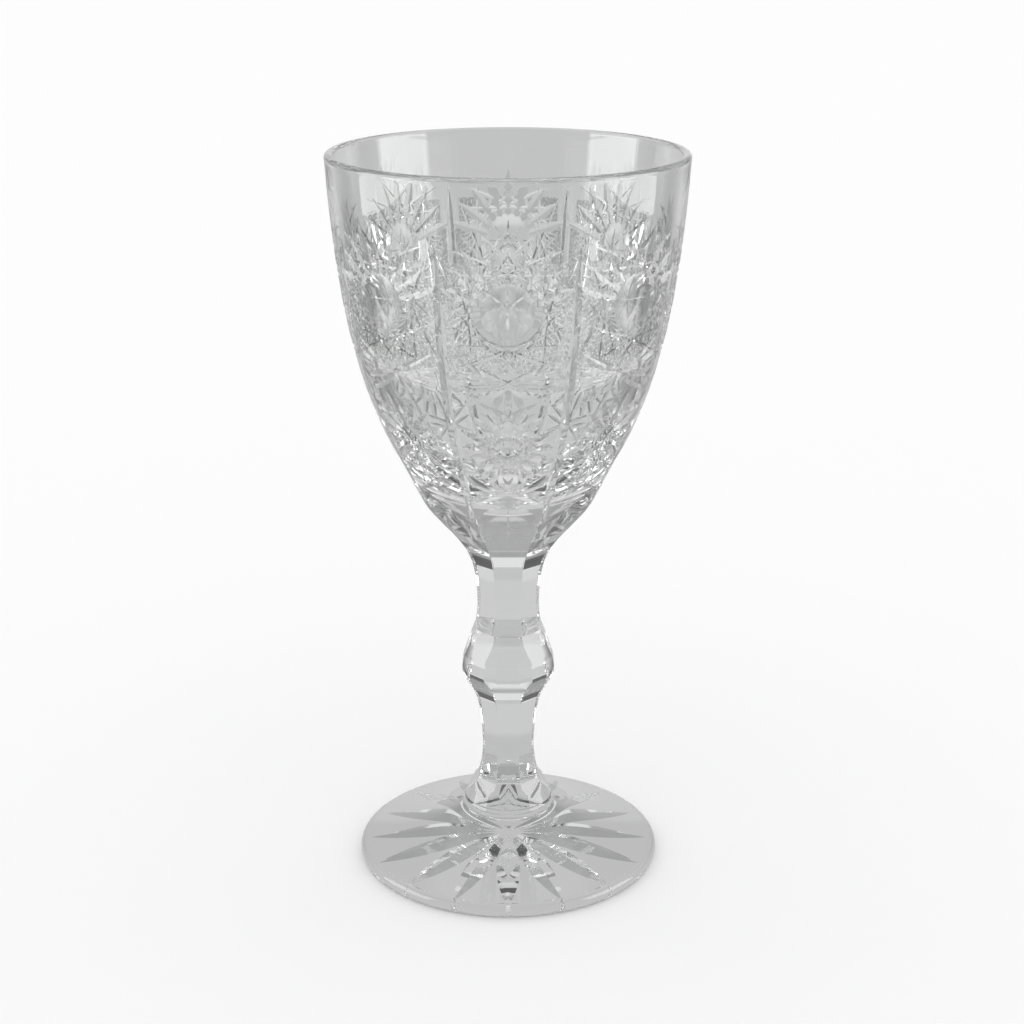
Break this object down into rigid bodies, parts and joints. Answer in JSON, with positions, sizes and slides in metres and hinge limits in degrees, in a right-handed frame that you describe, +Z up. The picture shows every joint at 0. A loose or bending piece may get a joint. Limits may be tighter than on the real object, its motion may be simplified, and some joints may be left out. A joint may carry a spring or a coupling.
{
  "type": "wine glass",
  "caption": "Cut crystal wine glass: round panelled bowl with wheel-cut stars, faceted stem with a knop, and a round foot with a star cut underneath.",
  "frame": {"origin": "centre of the foot's flat underside, on the surface that the glass stands on", "axes": "+Z up along the glass's axis, from the foot to the lip; -Y faces the front panel of the bowl"},
  "size_m": [0.0808, 0.0808, 0.17],
  "materials": {
    "bowl_crystal": "polished",
    "stem_crystal": "polished",
    "foot_crystal": "polished"
  },
  "bodies": {
    "root": {"bowl": "bowl_crystal", "upper_stem": "stem_crystal", "knop": "stem_crystal", "lower_stem": "stem_crystal", "collar": "stem_crystal", "foot": "foot_crystal"}
  },
  "joints": []
}
